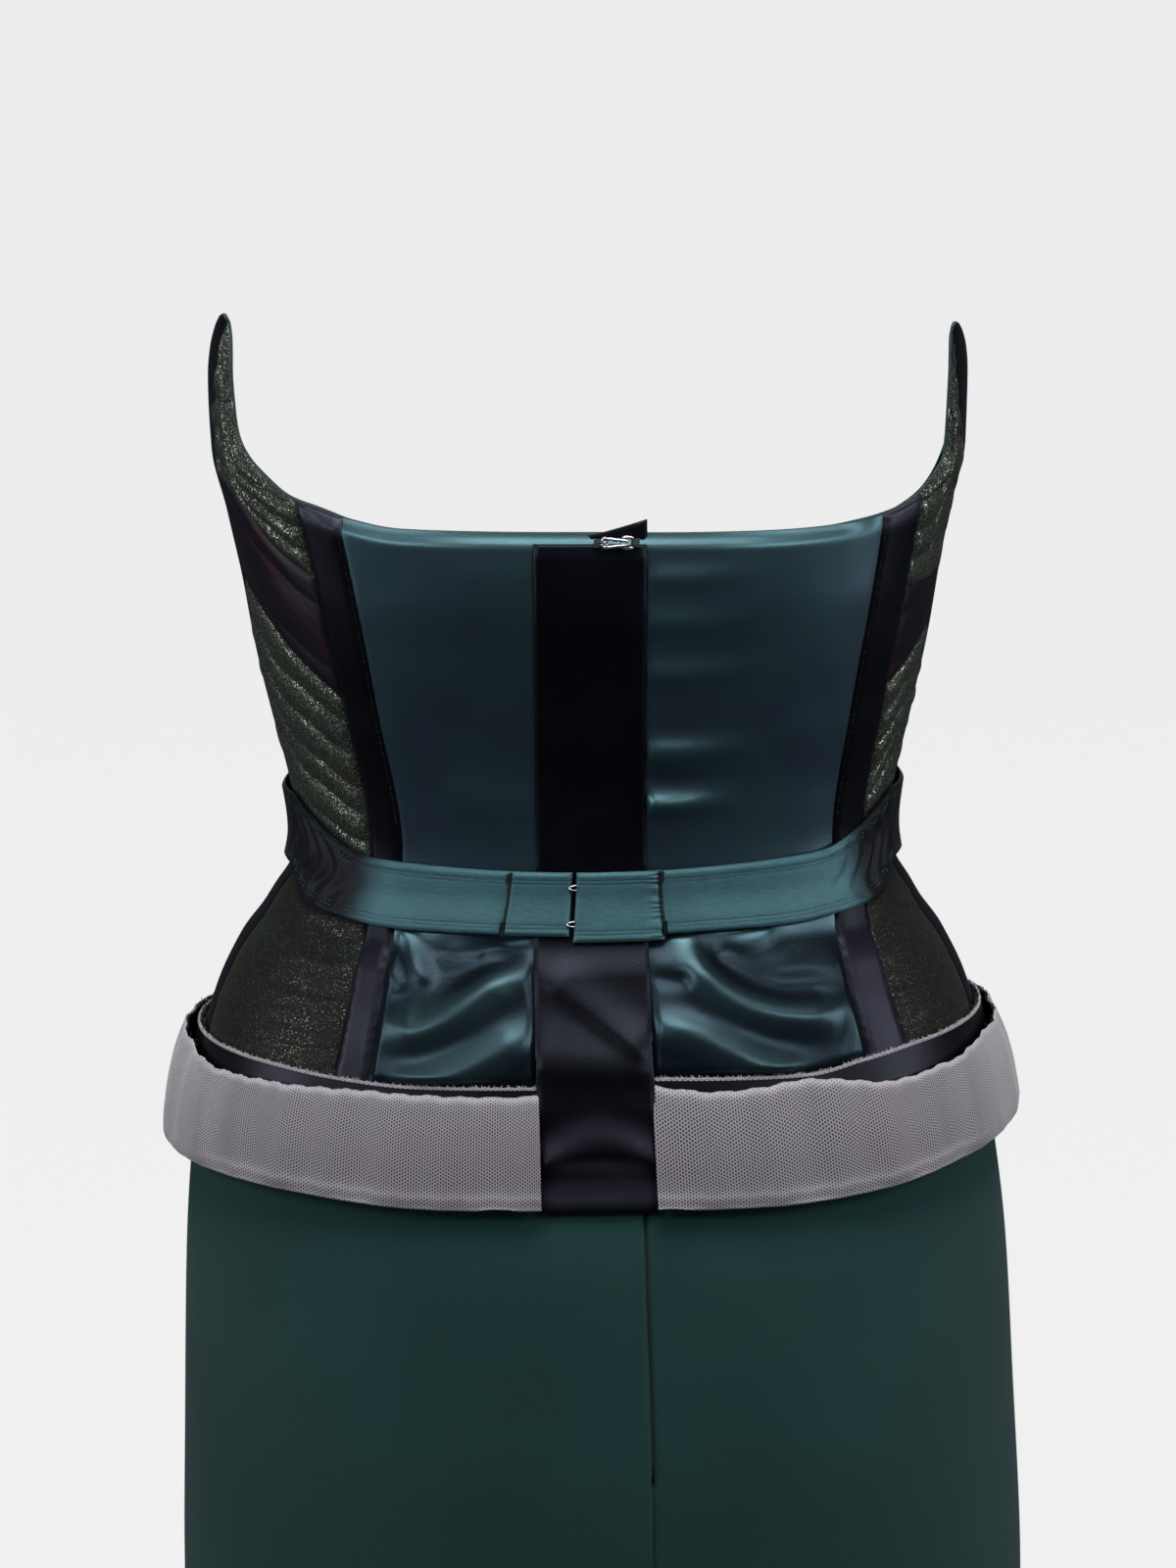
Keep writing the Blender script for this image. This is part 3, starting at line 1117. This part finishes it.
def make_hooks():
    """Bent-wire hooks of the belt, and the hook and eye above the zip with their sewing."""
    def laid(line, x, z, lift, at):
        """Points in mm laid on the figure round a middle."""
        across, up, out = line.T / 1000
        return form_point(angle_of(x + across, at), z + up, lift + out)

    middle = (EYE_TAB[1] + HOOK_TAB[0]) / 2
    loop = mirrored([(1.7, 0.9, -1.3), (0.9, 0.95, -0.5), (-0.2, 0.8, 0.0), (-1.2, 0.5, 0.3),
                     (-1.7, 0.0, 0.1)])
    for name, height in BELT_HOOKS:
        path = laid(smooth_line(loop, 40), middle, height, belt_lift(0.0) + BELT_THICKNESS, 0.0)
        joined("wire_" + name, "silver_metal", [tube_parts(path, 0.00038, 8)], name)
    x = sum(NECK_HOOK_SIDES) / 2
    z = sum(NECK_HOOK_HEIGHTS) / 2 + 0.0024
    lift = WALL + LAY_GAP + 0.0022
    ring = ((-4.2, 2.0), (-5.2, 1.6), (-5.6, 0.6), (-4.6, 0.2), (-3.9, 1.0), (-4.2, 2.0))
    loops = [
        mirrored([(-5.5, -1.2, 0), (-3.0, -1.6, 0.3), (0.0, -1.2, 0.5), (3.2, -0.9, 0.9), (4.4, 0.0, 1.1)]),
        mirrored([(6.0, -1.9, 0), (3.6, -2.2, 0.2), (1.6, -1.2, 0.3), (1.2, 0.0, 0.4)]),
        [(a, b, 0.2) for a, b in ring],
        [(a, -b, 0.2) for a, b in ring],
    ]
    parts = [tube_parts(laid(smooth_line(loop, 36), x, z, lift, z), 0.00066, 8) for loop in loops]
    joined("hook_and_eye", "silver_metal", parts, "neck_hook")
    sewn = []
    for end in (-7.2, 7.0):
        for k in range(5):
            line = np.array([(end - 1.5, 0.6 * k - 1.4, -0.8), (end, 0.7 * k - 1.3, 0.5),
                             (end + 1.5, 0.6 * k - 1.0, -0.8)])
            sewn.append(tube_parts(laid(line, x, z, lift, z), 0.00032, 5))
    joined("hook_threads", "green_thread", sewn)


def make_guard():
    """Guard behind the zip, whose top corner shows above the edge."""
    def guard_top(angle):
        span = angle_of(GUARD_SIDES[1], GUARD_TOP_LOW)
        return GUARD_TOP_LOW + (GUARD_TOP_HIGH - GUARD_TOP_LOW) * np.clip(angle / span, 0, 1)

    left, right = (lambda height, place=place: angle_of(place, height) for place in GUARD_SIDES)
    patch = Patch(left, right, level(GUARD_END), guard_top, CASING_STEP)
    drape("guard_flap", "zip_guard", "black_satin", patch, GUARD_LIFT + 0.0 * patch.u,
          0.0001 * crumple(patch.s, patch.t, 0.015, 6.0), wall=STRIP_WALL, lined=None)


def running_length(places, axis):
    """Length along rows or columns of places, from the first."""
    steps = np.linalg.norm(np.diff(places, axis=axis), axis=2)
    return np.pad(np.cumsum(steps, axis=axis), ((1, 0), (0, 0)) if axis == 0 else ((0, 0), (1, 0)))


def make_hip_band():
    """Hip band: the net strip folded double, dark inside, its outer wall standing off in a soft wave."""
    fringe = np.random.default_rng(FRINGE_SEED)
    columns, rows = BAND_COLUMNS, BAND_ROWS
    for side, word, tables, start, seed in (
        (-1, "left", (BAND_INNER_TOP_LEFT, BAND_OUTER_TOP_LEFT, BAND_FOLD_LEFT), PLACKET_LEFT, 1.0),
        (1, "right", (BAND_INNER_TOP_RIGHT, BAND_OUTER_TOP_RIGHT, BAND_FOLD_RIGHT), PLACKET_RIGHT, 2.2),
    ):
        share = np.linspace(0, 1, columns)
        angle = BAND_START + (math.pi - BAND_START) * share
        degrees = np.degrees(angle)
        top, flap, low = (read_table(table, degrees) for table in tables)
        stand = BAND_STAND_BACK + (BAND_STAND_SIDE - BAND_STAND_BACK) * ease((degrees - 8) / 70)
        near = BAND_INNER_LIFT + 0 * angle
        belly = low + BAND_BELLY
        corners = [
            (near, top), (near, (top + belly) / 2), (near, belly), (near + 0.0002, low + 0.0090),
            (near + 0.0010, low + 0.0034), ((near + stand) / 2 + 0.0012, low + 0.0007),
            (stand - 0.0003, low + 0.0003), (stand + 0.0004, low + 0.0042), (stand + 0.0004, belly),
            (stand - 0.0002, (belly + flap) / 2), (stand - 0.0022, flap),
        ]
        last_corner = len(corners) - 1
        t = np.linspace(0, last_corner, rows)
        t[1] = 0.05
        lift, height = np.zeros((rows, columns)), np.zeros((rows, columns))
        for c in range(columns):
            lift[:, c] = read_table([(i, p[0][c]) for i, p in enumerate(corners)], t)
            height[:, c] = read_table([(i, p[1][c]) for i, p in enumerate(corners)], t)
        outer_share = ease((t - 5.5) / 2)[:, None]
        wave = 0.0007 * np.sin(angle * 17 + seed) + 0.0005 * np.sin(angle * 39 + 2 * seed)
        lift = lift + outer_share * wave[None, :]
        height = height + 0.0003 * np.sin(angle * 83 + seed)[None, :] * outer_share
        beside = read_table(start, height) + 0.0002
        first = np.abs(angle_of(side * beside / (1 + lift / read_table(FORM, height)), height))
        last = math.pi - float(angle_step(math.pi, HEM[0][1], SEAM_GAP))
        angles = side * (first + (last - first) * share[None, :])
        turn_lift, turn_height = np.gradient(lift, axis=0), np.gradient(height, axis=0)
        length = np.hypot(turn_lift, turn_height) + 1e-9
        out_lift, out_height = NET_HALF * (turn_height / length), NET_HALF * (-turn_lift / length)
        outside = form_point(angles, height + out_height, lift + out_lift)
        inside = form_point(angles, height - out_height, lift - out_lift)
        middle = form_point(angles, height, lift)
        s = np.broadcast_to(running_length(middle, 1)[rows // 2], (rows, columns))
        up = np.broadcast_to(running_length(middle, 0).mean(axis=1)[:, None], (rows, columns))
        lines = np.maximum(0.4 * np.exp(-(t / 0.14) ** 2), np.exp(-((last_corner - t) / 0.14) ** 2))
        for share_lit, at, reach in ((0.8, 6.25, 0.22), (0.35, 7.15, 0.16)):
            lines = np.maximum(lines, share_lit * np.exp(-((t - at) / reach) ** 2))
        slant = 0.6 * ease((degrees - 52) / 26) * (1 - ease((degrees - 115) / 20))
        edges = np.maximum(lines[:, None], slant[None, :])
        if side < 0:
            outside, inside, edges = outside[:, ::-1], inside[:, ::-1], edges[:, ::-1]
        strands = []

        def loose_end(where, row, lean, place_of, shares, radius):
            """A short thread that leaves an edge row, leaning along it."""
            column = where * (columns - 1)
            at = [np.interp(column, np.arange(columns), grid[row]) for grid in (angles, height, lift)]
            spots = []
            for k in shares:
                up_by, out_by = place_of(k)
                turn = float(angle_step(at[0], at[1], lean * k))
                spots.append(form_point(at[0] + turn, at[1] + up_by, at[2] + out_by))
            strands.append(tube_parts(spots, radius, 3))

        for _ in range(NET_STRANDS):
            where = fringe.uniform(0.005, 0.60) ** 1.1
            lean, rise = fringe.normal(0, 0.0011), fringe.uniform(0.0003, 0.0019)
            curl = fringe.uniform(-0.0002, 0.0009)
            loose_end(where, 0, lean, lambda k: (-0.0006 + rise * k, 0.0001 + curl * k * k),
                      (0.0, 0.5, 1.0), 0.00013)
        for line in (0, rows - 1):
            path = middle[line] + (0.0, 0.0, 0.0001)
            path = path + 0.00012 * np.sin(np.arange(columns) * 2.1)[:, None]
            strands.append(tube_parts(path, 0.00044 if line else 0.00022, 5))
        net_strands, strands = strands, []
        for _ in range(DARK_STRANDS):
            where = fringe.uniform(0.40, 0.60)
            row = 0 if fringe.random() < 0.6 else rows - 1
            lean, rise = fringe.normal(0, 0.0020), fringe.uniform(0.0, 0.0030)
            out = fringe.uniform(-0.0008, 0.0008)
            loose_end(where, row, lean, lambda k: (-0.0012 + rise * k, -0.0006 + out * k),
                      (0.0, 0.4, 0.75, 1.0), 0.00016)
        shell("net_band_" + word, "hip_band_" + word, "silver_net", inside, outside, s, up,
              {"edge": np.array(edges)}, "band_inside", 1)
        joined("net_threads_" + word, "net_thread", net_strands)
        joined("dark_fringe_" + word, "black_thread", strands)


def make_skirt():
    """Front and two backs of the skirt; the backs turn in at the zip, then meet in a plain seam."""
    side = math.radians(SKIRT_SIDE)
    for name, node, left, right, zip_side in (
        ("crepe_back_left", "skirt_back_left", straight(-side), ZIP_SEAM, "right"),
        ("crepe_back_right", "skirt_back_right", ZIP_SEAM, straight(side), "left"),
        ("crepe_front", "skirt_front", straight(side), straight(math.tau - side), ""),
    ):
        patch = Patch(left, right, level(SKIRT_HEM), level(SKIRT_TOP), SKIRT_STEP, crowd=zip_side)
        relief = 0.0005 * crumple(patch.s, patch.t, 0.12, 7.0) * ease((-0.13 - patch.height) / 0.1)
        relief = relief * ease(patch.side() / 0.03)
        if zip_side:
            away = patch.from_right if zip_side == "right" else patch.from_left
            zipped = ease((patch.height - ZIP_END) / 0.002)
            slot = np.exp(-((patch.height - ZIP_END + 0.0035) / 0.0032) ** 4)
            turned_in = (0.0004 + 0.0011 * zipped) * np.exp(-away / 0.0009)
            relief -= turned_in + 0.0030 * slot * np.exp(-(away / 0.0011) ** 2)
            relief += 0.00035 * zipped * np.exp(-((away - 0.0030) / 0.0013) ** 2)
        drape(name, node, "green_crepe", patch, SKIRT_LIFT + 0.0 * patch.u, relief, wall=SKIRT_WALL,
              thin=0.25)


def make_edges():
    """Rolled facing along the top edge, seen as a thin green line."""
    def behind(angle):
        return -0.0005 - edge_turn(angle)

    path = edge_path(shifted(top_edge, -0.0002), -180, 180, behind, 900)
    degrees = np.linspace(-180, 180, 900)
    radius = 0.00062 + 0.0005 * np.exp(-((np.abs(degrees) - 47) / 5) ** 2)
    joined("facing_roll", "green_lining", [tube_parts(path, radius, 6)])


def make_studio():
    """Plain pale floor and backdrop, soft lights, dim surrounding light."""
    turn = np.linspace(0, math.tau, STUDIO_SIDES, endpoint=False)
    circle = STUDIO_RADIUS * np.stack([np.cos(turn), np.sin(turn)])
    floor = np.stack([*circle, FLOOR_HEIGHT + 0 * turn], -1)
    rim = list(range(STUDIO_SIDES))
    walls = [[k, ahead, STUDIO_SIDES + ahead, STUDIO_SIDES + k] for k, ahead in zip(rim, rim[1:] + rim[:1])]
    ceiling = [[STUDIO_SIDES + k for k in rim]]
    for name, points, faces in (
        ("studio_floor", floor, [rim]),
        ("studio_backdrop", np.concatenate([floor, floor + (0.0, 0.0, STUDIO_HEIGHT)]), walls + ceiling),
    ):
        mesh = bpy.data.meshes.new(name)
        mesh.from_pydata(points.tolist(), [], faces)
        pale = Finish(name, Roughness=1.0, Specular_IOR_Level=0.0, Base_Color=(0.04, 0.04, 0.04, 1.0),
                      Emission_Color=(1.0, 1.0, 1.0, 1.0), Emission_Strength=STUDIO_GLOW)
        mesh.materials.append(pale.material)
        stage = bpy.data.objects.new(name, mesh)
        bpy.context.scene.collection.objects.link(stage)
        stage.visible_diffuse = stage.visible_glossy = False
    world = bpy.data.worlds.new("studio")
    world.use_nodes = True
    surroundings = world.node_tree.nodes["Background"].inputs
    surroundings["Color"].default_value = SURROUNDINGS
    surroundings["Strength"].default_value = SURROUNDINGS_STRENGTH
    bpy.context.scene.world = world
    for name, place, size, power, colour in LIGHTS:
        light = bpy.data.lights.new(name, "AREA")
        light.shape, light.size, light.size_y = "RECTANGLE", size[0], size[1]
        light.energy, light.color = power, colour
        lamp = bpy.data.objects.new(name, light)
        bpy.context.scene.collection.objects.link(lamp)
        forward = -np.array(place) / np.linalg.norm(place)
        across = np.cross(forward, (0.0, 0.0, 1.0))
        across /= np.linalg.norm(across)
        axes = np.stack([across, np.cross(across, forward), -forward], axis=1)
        lamp.matrix_world = Matrix.Translation(place) @ Matrix(axes.tolist()).to_4x4()


LIGHTS = (
    # name, place, size, watts, colour; each is turned to the waist
    ("overhead_softbox", (0.1, -1.10, 2.42), (2.0, 1.1), 42, (1.0, 1.0, 1.0)),
    ("left_fill", (-2.3, -2.5, 1.75), (1.2, 0.8), 20, (0.97, 0.99, 1.0)),
    ("right_fill", (2.3, -2.5, 1.75), (1.2, 0.8), 20, (0.97, 0.99, 1.0)),
    ("left_strip", (-2.3, -0.5, 0.5), (0.35, 1.5), 14, (0.97, 0.96, 1.0)),
    ("right_strip", (2.3, -0.5, 0.5), (0.35, 1.5), 14, (0.97, 0.96, 1.0)),
    ("far_softbox", (0.0, 2.4, 2.2), (2.4, 1.4), 40, (1.0, 1.0, 1.0)),
)


def make_camera():
    """Camera at the photograph's viewing angle."""
    data = bpy.data.cameras.new("photo_camera")
    data.sensor_width, data.sensor_fit = SENSOR_WIDTH, "AUTO"
    data.lens = SENSOR_WIDTH * FOCAL_LENGTH / PHOTO_SIZE[1]
    data.shift_x = (PHOTO_SIZE[0] / 2 - OPTICAL_AXIS[0]) / PHOTO_SIZE[1]
    data.clip_start, data.clip_end = 0.05, 60.0
    camera = bpy.data.objects.new("photo_camera", data)
    bpy.context.scene.collection.objects.link(camera)
    tilt = Matrix.Rotation(math.pi / 2 + CAMERA_PITCH, 4, "X") @ Matrix.Rotation(-CAMERA_ROLL, 4, "Z")
    camera.matrix_world = Matrix.Translation(CAMERA_PLACE) @ tilt
    bpy.context.scene.camera = camera


make_camera()
make_studio()
make_skirt()
make_back_satin()
make_casings()
make_side_backs()
make_front()
make_placket()
make_guard()
make_belt()
make_hooks()
make_hip_band()
make_stitching()
make_edges()
bpy.context.scene.view_settings.view_transform = "Standard"
